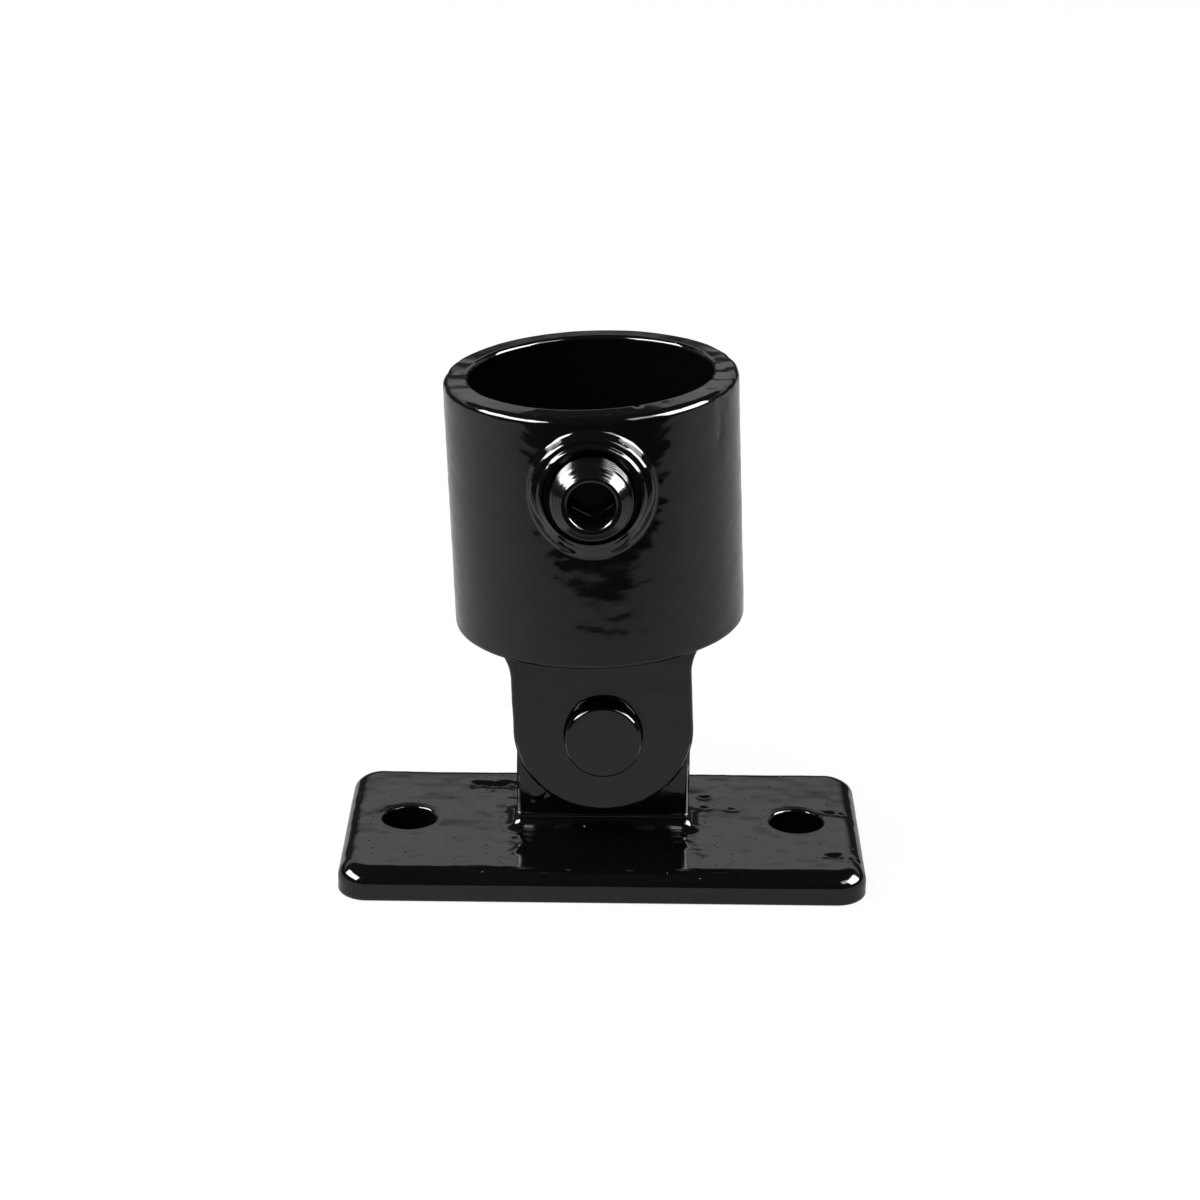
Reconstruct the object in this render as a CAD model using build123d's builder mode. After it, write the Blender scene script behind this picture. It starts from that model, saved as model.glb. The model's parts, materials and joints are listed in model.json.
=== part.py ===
"""Swivel base flange for a 48.3 mm structural tube.

A cast base plate carries an upright lug. A cast socket stands on it by a fork, whose two ears
hold a pivot pin that turns in the lug. A grub screw in a boss on the socket clamps the tube.

Millimetres, +Z up. The origin is the centre of the base plate's underside, X runs along the
plate and the pivot pin lies along Y. The socket, its pin and its screw are drawn in the
socket's own frame, which stands on the pivot axis and leans a little about it.
"""
from build123d import *
import os
from math import radians, sqrt, tan

os.makedirs("parts", exist_ok=True)

# Base plate
plate_length = 110.5
plate_width = 53.0
plate_thickness = 7.0
plate_corner_radius = 6.5
plate_top_round = 3.8
plate_foot_round = 0.8
bolt_end_distance = 13.75
bolt_hole_diameter = 11.0
bolt_hole_round = 0.7

# Lug
lug_thickness = 8.0
lug_inset = 0.45
lug_edge_round = 1.2
lug_foot_round = 3.2
lug_top_clearance = 4.0

# Pivot pin, with its radial clearances in the lug and in the ears
pin_diameter = 16.0
pin_stand_out = 4.1
pin_edge_round = 0.7
pin_running_clearance = 0.05
pin_seat_clearance = 0.02

# Fork ears, which straddle the lug; their round ends are centred a little above the pin
ear_width = 37.7
ear_end_rise = 0.85
ear_thickness = 7.0
ear_side_clearance = 0.25
ear_ground_clearance = 6.7
ear_edge_round = 1.2
ear_flare_turn = 76.8
ear_flare_margin = 0.4
ear_root_round = 1.6

# Socket
tube_bore_diameter = 49.5
socket_wall = 5.4
socket_floor = 6.0
bore_depth = 47.4
bore_floor_round = 2.0
rim_outer_round = 2.0
rim_inner_round = 1.0
underside_round = 1.2
socket_lean = 2.5

# Boss round the grub screw, with a low lip on its face
boss_below_rim = 16.0
boss_diameter = 25.4
boss_stand_out = 1.8
boss_edge_round = 0.5
boss_foot_round = 1.2
boss_lip_diameter = 22.0
boss_lip_height = 0.5
boss_lip_round = 0.4
boss_recess_diameter = 19.2
boss_recess_depth = 2.2

# Grub screw, with its radial clearance in the hole
screw_diameter = 16.4
screw_running_clearance = 0.08
screw_stand_out = 5.0
screw_tip_gap = 0.5
screw_tip_chamfer = 1.2
screw_face_diameter = 11.8
screw_face_depth = 2.2
hex_across_flats = 8.0
hex_depth = 7.0
hex_mouth_diameter = 11.0
hex_mouth_depth = 1.5

# Radii, and heights above the pivot or distances out from the socket's axis, that follow
bolt_spacing = plate_length - 2 * bolt_end_distance
ear_radius = ear_width / 2
lug_radius = ear_radius - lug_inset
pivot_height = plate_thickness + ear_ground_clearance + ear_radius - ear_end_rise
fork_gap = lug_thickness + 2 * ear_side_clearance
fork_width = fork_gap + 2 * ear_thickness
underside_height = lug_radius + lug_top_clearance
floor_height = underside_height + socket_floor
rim_height = floor_height + bore_depth
boss_height = rim_height - boss_below_rim
bore_radius = tube_bore_diameter / 2
socket_radius = bore_radius + socket_wall
ear_flare_end = sqrt((socket_radius - underside_round - ear_flare_margin) ** 2 - (fork_width / 2) ** 2)
ear_flare_height = (ear_flare_end - ear_radius) / tan(radians(ear_flare_turn / 2))
boss_face = socket_radius + boss_stand_out
lip_face = boss_face + boss_lip_height
recess_floor = lip_face - boss_recess_depth
screw_radius = screw_diameter / 2
screw_face = lip_face + screw_stand_out
screw_tip = bore_radius + screw_tip_gap

# The socket's frame and axis, and the side planes that look along the pin from the front
socket_frame = Plane.XY.offset(pivot_height).rotated((0, -socket_lean, 0))
socket_axis = Axis(socket_frame.origin, socket_frame.z_dir)
socket_side = Plane(origin=socket_frame.origin, x_dir=socket_frame.x_dir, z_dir=(0, -1, 0))
base_side = Plane(origin=socket_frame.origin, x_dir=(1, 0, 0), z_dir=(0, -1, 0))


# ---- Base flange: plate and lug in one casting ----
with BuildPart() as base_flange:
    with BuildSketch(base_side):
        Circle(lug_radius)
        Rectangle(2 * lug_radius, pivot_height - plate_thickness / 2, align=(Align.CENTER, Align.MAX))
    extrude(amount=lug_thickness / 2, both=True)
    lug_sides = base_flange.faces().filter_by(Axis.Y)
    fillet([edge for edge in lug_sides.edges() if edge.center().Z > plate_thickness], lug_edge_round)

    with BuildSketch():
        RectangleRounded(plate_length, plate_width, plate_corner_radius)
    extrude(amount=plate_thickness)
    plate_top = base_flange.faces().filter_by(Axis.Z).sort_by(Axis.Z)[-1]
    fillet(plate_top.inner_wires().edges(), lug_foot_round)
    plate_top = base_flange.faces().filter_by(Axis.Z).sort_by(Axis.Z)[-1]
    fillet(plate_top.outer_wire().edges(), plate_top_round)
    fillet(base_flange.faces().sort_by(Axis.Z)[0].edges(), plate_foot_round)

    with BuildSketch():
        with GridLocations(bolt_spacing, 0, 2, 1):
            Circle(bolt_hole_diameter / 2)
    extrude(amount=plate_thickness, mode=Mode.SUBTRACT)
    for plate_face in base_flange.faces().filter_by(Axis.Z):
        hole_edges = plate_face.inner_wires().edges().filter_by(GeomType.CIRCLE)
        fillet(hole_edges.filter_by(lambda edge: edge.radius < lug_radius), bolt_hole_round)

    with BuildSketch(base_side):
        Circle(pin_diameter / 2 + pin_running_clearance)
    extrude(amount=lug_thickness, both=True, mode=Mode.SUBTRACT)
base_flange.part.label = "base_flange"

# ---- Socket: forked ears, tube socket and screw boss in one casting ----
with BuildPart() as socket:
    # Each ear is round about the pin and flares with an arc into the underside
    with BuildSketch(socket_side):
        with BuildLine():
            round_end = ThreePointArc(
                (ear_radius, ear_end_rise), (0, ear_end_rise - ear_radius), (-ear_radius, ear_end_rise))
            side = Line(round_end @ 1, (-ear_radius, underside_height - ear_flare_height))
            flare = TangentArc(side @ 1, (-ear_flare_end, underside_height), tangent=(0, 1))
            top = Line(flare @ 1, (ear_flare_end, underside_height))
            right_flare = TangentArc((ear_radius, (side @ 1).Y), top @ 1, tangent=(0, 1))
            Line(right_flare @ 0, round_end @ 0)
        make_face()
    extrude(amount=fork_width / 2, both=True)
    with BuildSketch(socket_side.offset(-fork_gap / 2)):
        with Locations((0, underside_height)):
            Rectangle(2 * ear_flare_end, underside_height + ear_radius, align=(Align.CENTER, Align.MAX))
    extrude(amount=fork_gap, mode=Mode.SUBTRACT)
    for end in (0, -1):
        ear_outside = socket.faces().sort_by(Axis.Y)[end]
        fillet(ear_outside.edges() - ear_outside.edges().sort_by(socket_axis)[-1:], ear_edge_round)

    with BuildSketch(socket_frame.offset(underside_height)):
        Circle(socket_radius)
    extrude(amount=socket_floor + bore_depth)

    # The boss and its lip stand out of the front, and the boss has a coved foot
    with BuildSketch(socket_side):
        with Locations((0, boss_height)):
            Circle(boss_diameter / 2)
    extrude(amount=boss_face)
    fillet(socket.edges(Select.LAST).sort_by(Axis.Y)[-1], boss_foot_round)
    fillet(socket.faces().sort_by(Axis.Y)[0].edges(), boss_edge_round)
    with BuildSketch(socket_side.offset(boss_face)):
        with Locations((0, boss_height)):
            Circle(boss_lip_diameter / 2)
    extrude(amount=boss_lip_height)
    fillet(socket.faces().sort_by(Axis.Y)[0].edges(), boss_lip_round)

    with BuildSketch(socket_frame.offset(floor_height)):
        Circle(bore_radius)
    extrude(amount=bore_depth, mode=Mode.SUBTRACT)
    with BuildSketch(socket_side.offset(recess_floor)):
        with Locations((0, boss_height)):
            Circle(boss_recess_diameter / 2)
    extrude(amount=boss_recess_depth, mode=Mode.SUBTRACT)
    with BuildSketch(socket_side):
        with Locations((0, boss_height)):
            Circle(screw_radius + screw_running_clearance)
    extrude(amount=lip_face, mode=Mode.SUBTRACT)
    with BuildSketch(socket_side.offset(-fork_width / 2)):
        Circle(pin_diameter / 2 + pin_seat_clearance)
    extrude(amount=fork_width, mode=Mode.SUBTRACT)

    # Flat faces square to the socket's axis, from the bottom: underside, bore floor, rim
    underside, bore_floor, rim = socket.faces().filter_by(socket_axis).sort_by(socket_axis)
    fillet(bore_floor.outer_wire().edges(), bore_floor_round)
    fillet(underside.outer_wire().edges(), underside_round)
    fillet(rim.outer_wire().edges(), rim_outer_round)
    for end, inner_round in ((-1, rim_inner_round), (0, ear_root_round)):
        flat_face = socket.faces().filter_by(socket_axis).sort_by(socket_axis)[end]
        fillet(flat_face.inner_wires().edges(), inner_round)
socket.part.label = "socket"

# ---- Pivot pin: plain bar with both ends eased ----
with BuildPart() as pivot_pin:
    with BuildSketch(socket_side):
        Circle(pin_diameter / 2)
    extrude(amount=fork_width / 2 + pin_stand_out, both=True)
    fillet(pivot_pin.edges().filter_by(GeomType.CIRCLE), pin_edge_round)
pivot_pin.part.label = "pivot_pin"

# ---- Grub screw: turned outside, with a hexagon socket behind a coned mouth ----
with BuildPart() as grub_screw:
    with BuildSketch(socket_side.offset(screw_tip)):
        with Locations((0, boss_height)):
            Circle(screw_radius)
    extrude(amount=screw_face - screw_tip)
    tip, face = grub_screw.faces().filter_by(Axis.Y).sort_by(Axis.Y)[::-1]
    chamfer(tip.edges(), screw_tip_chamfer)
    chamfer(face.edges(), (screw_diameter - screw_face_diameter) / 2, screw_face_depth, reference=face)
    with BuildSketch(socket_side.offset(screw_face - hex_depth)):
        with Locations((0, boss_height)):
            RegularPolygon(hex_across_flats / 2, 6, major_radius=False, rotation=30)
    extrude(amount=hex_depth, mode=Mode.SUBTRACT)
    with Locations(Plane(origin=face.center(), z_dir=(0, -1, 0))):
        Cone(hex_across_flats / 2, hex_mouth_diameter / 2, hex_mouth_depth,
             align=(Align.CENTER, Align.CENTER, Align.MAX), mode=Mode.SUBTRACT)
grub_screw.part.label = "grub_screw"

for piece in (base_flange, socket, pivot_pin, grub_screw):
    export_step(piece.part, f"parts/{piece.part.label}.step")
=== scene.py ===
"""Swivel base flange for a structural tube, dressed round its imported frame.

The two castings, the pivot pin and the grub screw are surfaces worked out on grids, and carry a
gloss black powder coat. The studio is a pale sweep with softboxes in a dark room.

The part's sizes are in millimetres, and its meshes are turned into metres as they are made.
The studio's are in metres. The base stands in the part's own frame: +Z up, X along the plate,
and the pivot pin along Y. The socket, its pin and its screw are worked out in the socket's
frame, which has the pivot for its origin and the socket's axis for its Z, and are then leaned
into place.
"""
from __future__ import annotations

import json
import logging
import math
from collections.abc import Callable, Sequence
from dataclasses import dataclass, field
from enum import Enum

import bmesh
import bpy
import numpy as np
from mathutils import Matrix, Vector


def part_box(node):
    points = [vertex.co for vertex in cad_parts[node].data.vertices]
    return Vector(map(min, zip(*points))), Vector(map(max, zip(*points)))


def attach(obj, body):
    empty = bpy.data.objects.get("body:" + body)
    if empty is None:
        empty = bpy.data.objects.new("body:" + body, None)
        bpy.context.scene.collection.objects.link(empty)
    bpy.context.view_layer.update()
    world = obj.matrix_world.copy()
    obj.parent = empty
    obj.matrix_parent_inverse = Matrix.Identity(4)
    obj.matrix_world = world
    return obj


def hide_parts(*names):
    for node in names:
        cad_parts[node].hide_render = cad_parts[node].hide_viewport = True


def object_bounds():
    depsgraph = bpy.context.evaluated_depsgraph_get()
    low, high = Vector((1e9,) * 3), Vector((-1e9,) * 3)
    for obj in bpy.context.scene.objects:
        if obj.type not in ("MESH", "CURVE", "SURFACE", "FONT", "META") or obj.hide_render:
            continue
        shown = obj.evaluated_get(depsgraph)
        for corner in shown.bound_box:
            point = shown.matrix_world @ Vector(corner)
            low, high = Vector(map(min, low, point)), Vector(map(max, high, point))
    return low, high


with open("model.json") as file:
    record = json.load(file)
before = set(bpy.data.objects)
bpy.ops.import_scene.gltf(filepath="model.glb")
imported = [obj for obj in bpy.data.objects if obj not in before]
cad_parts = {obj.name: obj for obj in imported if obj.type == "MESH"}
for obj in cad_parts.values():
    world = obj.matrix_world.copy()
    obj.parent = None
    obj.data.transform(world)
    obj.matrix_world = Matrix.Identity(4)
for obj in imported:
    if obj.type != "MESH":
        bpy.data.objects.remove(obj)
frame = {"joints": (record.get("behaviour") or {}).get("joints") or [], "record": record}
cad_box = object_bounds()

METRES = 0.001
QUARTER = math.pi / 2
TURN = 2 * math.pi

log = logging.getLogger("swivel_base_flange")

Array = np.ndarray


# ---------------------------------------------------------------- places taken from the frame


@dataclass(frozen=True)
class SocketFrame:
    """The socket's own frame, with its origin on the pivot and its Z along the tube bore."""

    pivot: Array
    axis: Array

    @classmethod
    def from_record(cls, joints: Sequence[dict], mounts: Sequence[dict]) -> SocketFrame:
        """Reads the pivot and the bore's axis.

        Args:
            joints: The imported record's joints.
            mounts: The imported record's mounts.

        Returns:
            The frame, in millimetres.
        """
        swivel = next(joint for joint in joints if joint["type"] == "hinge")
        bore = next(mount for mount in mounts if mount["kind"] == "bore")
        return cls(np.array(swivel["pos_m"]) / METRES, np.array(bore["axis"]))

    def place(self, points: Array) -> Array:
        """Carries points from the socket's frame into the part's, by its leaned X and Z."""
        across = np.cross([0.0, 1.0, 0.0], self.axis)
        return self.pivot + points @ np.array([across, [0.0, 1.0, 0.0], self.axis])


def stay(points: Array) -> Array:
    """Leaves points where they are, for what is drawn in the part's own frame."""
    return points


# ---------------------------------------------------------------- surfaces on grids


def add_object(name: str, data: bpy.types.ID) -> bpy.types.Object:
    """Makes an object and links it to the scene.

    Args:
        name: The object's name.
        data: Its mesh, light or camera.

    Returns:
        The object.
    """
    made = bpy.data.objects.new(name, data)
    bpy.context.scene.collection.objects.link(made)
    return made


class Shell:
    """Patches of quads that are gathered into one closed surface."""

    def __init__(self) -> None:
        """Starts an empty shell."""
        self.points: list[Array] = []
        self.quads: list[Array] = []
        self.count = 0

    def add(self, grid: Array, wrap_rows: bool = False, wrap_columns: bool = True,
            skip: Array | None = None) -> None:
        """Adds a patch, with a quad between each four neighbours on its grid.

        Args:
            grid: Points as rows × columns × 3.
            wrap_rows: Whether the last row joins the first.
            wrap_columns: Whether the last column joins the first.
            skip: True for each quad that is left out, as rows × columns of quads.
        """
        index = np.arange(grid.shape[0] * grid.shape[1]).reshape(grid.shape[:2])
        if wrap_rows:
            index = np.vstack([index, index[:1]])
        if wrap_columns:
            index = np.hstack([index, index[:, :1]])
        quads = np.stack([index[:-1, :-1], index[:-1, 1:], index[1:, 1:], index[1:, :-1]], axis=-1)
        kept = quads if skip is None else quads[~skip]
        self.points.append(grid.reshape(-1, 3))
        self.quads.append(kept.reshape(-1, 4) + self.count)
        self.count += grid.shape[0] * grid.shape[1]


def build_piece(name: str, shell: Shell, relief: Callable[[Array, Array], Array],
                place: Callable[[Array], Array]) -> bpy.types.Object:
    """Welds a shell's patches, turns its faces outwards and raises its relief.

    Each point moves along its normal by the relief's height there.

    Args:
        name: The piece's name.
        shell: The gathered patches.
        relief: Gives a height in millimetres for each point and its normal.
        place: Carries points into the part's frame.

    Returns:
        The piece, with its place in its mesh.
    """
    weld_distance = 0.002
    mesh = bpy.data.meshes.new(name)
    mesh.from_pydata(np.concatenate(shell.points), [], np.concatenate(shell.quads).tolist())
    work = bmesh.new()
    work.from_mesh(mesh)
    bmesh.ops.remove_doubles(work, verts=work.verts, dist=weld_distance)
    loose = [point for point in work.verts if not point.link_faces]
    bmesh.ops.delete(work, geom=loose, context="VERTS")
    bmesh.ops.recalc_face_normals(work, faces=work.faces)
    work.to_mesh(mesh)
    work.free()

    points = np.empty(3 * len(mesh.vertices), np.float32)
    normals = np.empty_like(points)
    mesh.vertices.foreach_get("co", points)
    mesh.vertex_normals.foreach_get("vector", normals)
    points, normals = points.reshape(-1, 3).astype(float), normals.reshape(-1, 3).astype(float)
    raised = points + normals * relief(points, normals)[:, None]
    mesh.vertices.foreach_set("co", (place(raised) * METRES).astype(np.float32).ravel())
    mesh.polygons.foreach_set("use_smooth", np.ones(len(mesh.polygons), bool))
    mesh.update()
    return add_object(name, mesh)


def stations(*stops: tuple[float, int]) -> Array:
    """Values from the first stop to the last, evenly spaced between each two.

    Args:
        stops: Each stop's value and the number of steps that lead to it.

    Returns:
        The values in order, with each stop once.
    """
    values = [np.array([stops[0][0]])]
    for (start, _), (end, steps) in zip(stops, stops[1:]):
        values.append(np.linspace(start, end, steps + 1)[1:])
    return np.concatenate(values)


def mix(start: Array, end: Array, shares: Array) -> Array:
    """Rows of points between two rings, one row for each share of the way."""
    return start + np.asarray(shares)[:, None, None] * (end - start)


def circle_points(across: float, level: float, radius: float, turns: Array) -> Array:
    """Points round a circle in a plane: (across + r cos t, level + r sin t)."""
    return np.stack([across + radius * np.cos(turns), level + radius * np.sin(turns)], axis=1)


def rings_about_y(radii: Array, depths: Array, angles: Array, height: float = 0.0) -> Array:
    """Rings round an axis along Y: the point is (r cos a, y, height + r sin a).

    Args:
        radii: Each ring's radius, or rings × angles of radii.
        depths: Each ring's place along Y, or rings × angles of places.
        angles: The angles round the axis.
        height: The axis's height.

    Returns:
        Rings × angles × 3 points.
    """
    radii = np.broadcast_to(radii.reshape(len(radii), -1), (len(radii), len(angles)))
    depths = np.broadcast_to(depths.reshape(len(depths), -1), radii.shape)
    return np.stack([radii * np.cos(angles), depths, height + radii * np.sin(angles)], axis=-1)


def window_edge(rows: slice, columns: slice) -> tuple[Array, Array]:
    """Row and column numbers round the edge of a window in a grid, each point once.

    Args:
        rows: The window's rows of quads.
        columns: Its columns of quads.

    Returns:
        The row numbers and the column numbers.
    """
    across = np.arange(columns.start, columns.stop)
    along = np.arange(rows.start, rows.stop)
    row_numbers = np.concatenate([np.full(len(across), rows.start), along,
                                  np.full(len(across), rows.stop), along[::-1] + 1])
    column_numbers = np.concatenate([across, np.full(len(along), columns.stop),
                                     across[::-1] + 1, np.full(len(along), columns.start)])
    return row_numbers, column_numbers


# ---------------------------------------------------------------- casting relief


class CastNoise:
    """Smooth noise in space, between −1 and 1."""

    def __init__(self, seed: int) -> None:
        """Fills a cubic lattice with random values.

        Args:
            seed: The seed, so that each run gives the same noise.
        """
        lattice_shape = (32, 32, 32)
        self.lattice = np.random.default_rng(seed).uniform(-1, 1, lattice_shape)

    def __call__(self, points: Array, cell: float) -> Array:
        """Blends the eight lattice values round each point by a fifth-order ease.

        Args:
            points: The points, in millimetres.
            cell: The lattice's spacing, in millimetres.

        Returns:
            One value for each point.
        """
        scaled = points / cell
        base = np.floor(scaled).astype(int)
        part = scaled - base
        ease = part**3 * (part * (6 * part - 15) + 10)
        total = np.zeros(len(points))
        for corner in np.ndindex(2, 2, 2):
            i, j, k = ((base + corner) % len(self.lattice)).T
            total += self.lattice[i, j, k] * np.prod(np.where(corner, ease, 1 - ease), axis=1)
        return total


@dataclass(frozen=True)
class Flaw:
    """A lump, pit or groove that runs from one point to another and fades away to each side."""

    start: tuple[float, float, float]
    end: tuple[float, float, float]
    reach: float
    height: float

    def height_at(self, points: Array) -> Array:
        """Gives height × exp(−(distance ÷ reach)²), with the distance to the line from start to end.

        Args:
            points: The points, in millimetres.

        Returns:
            The flaw's height at each point.
        """
        start, along = np.array(self.start), np.subtract(self.end, self.start)
        least_length_squared = 1e-9
        share = np.clip((points - start) @ along / max(along @ along, least_length_squared), 0, 1)
        distance = np.linalg.norm(points - start - share[:, None] * along, axis=1)
        return self.height * np.exp(-((distance / self.reach) ** 2))


@dataclass(frozen=True)
class CastRelief:
    """The uneven skin of a coated casting: slow swells, ripples and single flaws.

    A wave only lowers the surface, so that the casting keeps its outside size, and it dies
    away where `calm` says so. Each wave is a cell and a depth, and is longer than it is high
    by the stretch, as coat that ran a little before it set. The flaws are broken up by a
    ragged share of fine noise.
    """

    noise: CastNoise
    calm: Callable[[Array], Array]
    waves: tuple[tuple[float, float], ...] = ((9.0, 0.09), (4.2, 0.06), (1.9, 0.05))
    stretch: float = 2.2
    ragged: float = 0.9
    ragged_cell: float = 1.2
    flaws: tuple[Flaw, ...] = ()

    def __call__(self, points: Array, normals: Array) -> Array:
        """Adds the waves and the flaws.

        Args:
            points: The surface's points.
            normals: Their normals, which are not used.

        Returns:
            Each point's height along its normal.
        """
        drawn = points * [1, 1, self.stretch]
        height = sum(depth * (self.noise(drawn, cell) - 1) / 2 for cell, depth in self.waves)
        height = height * self.calm(points)
        broken = 1 + self.ragged * self.noise(points, self.ragged_cell)
        return height + broken * sum(flaw.height_at(points) for flaw in self.flaws)


def smooth_step(values: Array, low: float, high: float) -> Array:
    """Rises from 0 at low to 1 at high with flat ends."""
    share = np.clip((values - low) / (high - low), 0, 1)
    return share * share * (3 - 2 * share)


def soft_least(first: Array, second: Array, blend: float) -> Array:
    """The lesser of two values, rounded over where they come within the blend of each other."""
    share = np.clip(0.5 + (second - first) / (2 * blend), 0, 1)
    return second + share * (first - second) - blend * share * (1 - share)


def clear_of_pin(points: Array, radius: float, fade: float) -> Array:
    """0 in the pin's hole and 1 away from it, by the distance from the pin's axis."""
    return smooth_step(np.hypot(points[:, 0], points[:, 2]), radius, radius + fade)


# ---------------------------------------------------------------- finishes


class Slot(Enum):
    """The record's material slots."""

    CASTING = "coated_casting"
    PIN = "coated_pin"
    SCREW = "coated_screw"


class Nodes:
    """A short way to write a node tree."""

    def __init__(self, tree: bpy.types.NodeTree) -> None:
        """Clears the tree.

        Args:
            tree: The material's, light's or world's node tree.
        """
        self.tree = tree
        tree.nodes.clear()

    def add(self, kind: str, settings: dict | None = None, **inputs: object) -> bpy.types.Node:
        """Adds a node.

        Args:
            kind: The node's type, without its ShaderNode prefix.
            settings: Properties of the node itself.
            inputs: Values or source sockets for its inputs, with _ for a space in a name.

        Returns:
            The node.
        """
        node = self.tree.nodes.new("ShaderNode" + kind)
        for name, value in (settings or {}).items():
            setattr(node, name, value)
        for name, value in inputs.items():
            self.feed(node.inputs[name.replace("_", " ")], value)
        return node

    def feed(self, socket: bpy.types.NodeSocket, value: object) -> None:
        """Links a source socket to an input, or sets the input's value.

        Args:
            socket: The input.
            value: The source socket, or the value.
        """
        if isinstance(value, bpy.types.NodeSocket):
            self.tree.links.new(value, socket)
        else:
            socket.default_value = value

    def math(self, operation: str, *values: object) -> bpy.types.NodeSocket:
        """Adds a Math node.

        Args:
            operation: What the node works out.
            values: Values or source sockets, in the order of its inputs.

        Returns:
            Its result.
        """
        node = self.add("Math", {"operation": operation})
        for socket, value in zip(node.inputs, values):
            self.feed(socket, value)
        return node.outputs[0]


@dataclass(frozen=True)
class PowderCoat:
    """Gloss black powder coat, with orange peel, fine grit and dust baked into it.

    Nibs of dust stand on the faces that look up, where it settled before the bake.
    """

    name: str
    black: tuple[float, float, float] = (0.0026, 0.0026, 0.0029)
    thin: tuple[float, float, float] = (0.0046, 0.0046, 0.0050)
    dust: tuple[float, float, float] = (0.055, 0.053, 0.050)
    roughness: float = 0.085
    roughness_spread: float = 0.05
    refraction: float = 1.5
    peel_size: float = 1.5
    peel_depth: float = 0.010
    grit_size: float = 0.35
    grit_depth: float = 0.0006
    cloud_size: float = 14.0
    haze_size: float = 4.0
    dust_size: float = 1.3
    dust_share: float = 0.035
    nib_spacing: float = 2.4
    nib_share: float = 0.11
    nib_height: float = 0.1
    nib_least_upward: float = 0.6

    def material(self) -> bpy.types.Material:
        """Makes the coat's material.

        Returns:
            The material, on Object coordinates.
        """
        material = bpy.data.materials.new(self.name)
        material.use_nodes = True
        nodes = Nodes(material.node_tree)
        texture = nodes.add("TexCoord").outputs

        def pattern(kind: str, size: float, **inputs: float) -> bpy.types.bpy_prop_collection:
            """Adds a texture whose features are of a size in millimetres."""
            return nodes.add(kind, Vector=texture["Object"], Scale=1 / METRES / size, **inputs).outputs

        def bump(height: bpy.types.NodeSocket, depth: float, **inputs: bpy.types.NodeSocket
                 ) -> bpy.types.NodeSocket:
            """Adds a bump with a depth in millimetres."""
            return nodes.add("Bump", Height=height, Strength=1.0, Distance=depth * METRES,
                             **inputs).outputs["Normal"]

        cloud = pattern("TexNoise", self.cloud_size, Detail=3.0)["Fac"]
        fleck = pattern("TexVoronoi", self.dust_size)["Distance"]
        speck = nodes.math("LESS_THAN", fleck, self.dust_share)
        tint = nodes.add("Mix", {"data_type": "RGBA"}, Factor=cloud, A=(*self.black, 1), B=(*self.thin, 1))
        dusted = nodes.add("Mix", {"data_type": "RGBA"}, Factor=speck, A=tint.outputs["Result"],
                           B=(*self.dust, 1))

        haze = pattern("TexNoise", self.haze_size, Detail=4.0)["Fac"]
        rough = nodes.add("MapRange", Value=haze, From_Min=0.3, From_Max=0.7,
                          To_Min=self.roughness - self.roughness_spread / 2,
                          To_Max=self.roughness + self.roughness_spread / 2)

        peel = pattern("TexNoise", self.peel_size, Detail=1.5, Roughness=0.45)["Fac"]
        grit = pattern("TexNoise", self.grit_size, Detail=2.0)["Fac"]
        gritty = bump(grit, self.grit_depth, Normal=bump(peel, self.peel_depth))
        nib = pattern("TexVoronoi", self.nib_spacing)["Distance"]
        mound = nodes.add("MapRange", {"interpolation_type": "SMOOTHSTEP"}, Value=nib,
                          From_Min=0.0, From_Max=self.nib_share, To_Min=1.0, To_Max=0.0)
        upward = nodes.add("SeparateXYZ", Vector=texture["Normal"]).outputs["Z"]
        settled = nodes.math("MULTIPLY", mound.outputs["Result"],
                             nodes.math("GREATER_THAN", upward, self.nib_least_upward))
        shader = nodes.add("BsdfPrincipled", Base_Color=dusted.outputs["Result"],
                           Roughness=rough.outputs["Result"], IOR=self.refraction,
                           Normal=bump(settled, self.nib_height, Normal=gritty))
        nodes.add("OutputMaterial", Surface=shader.outputs["BSDF"])
        return material


# ---------------------------------------------------------------- parts


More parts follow.
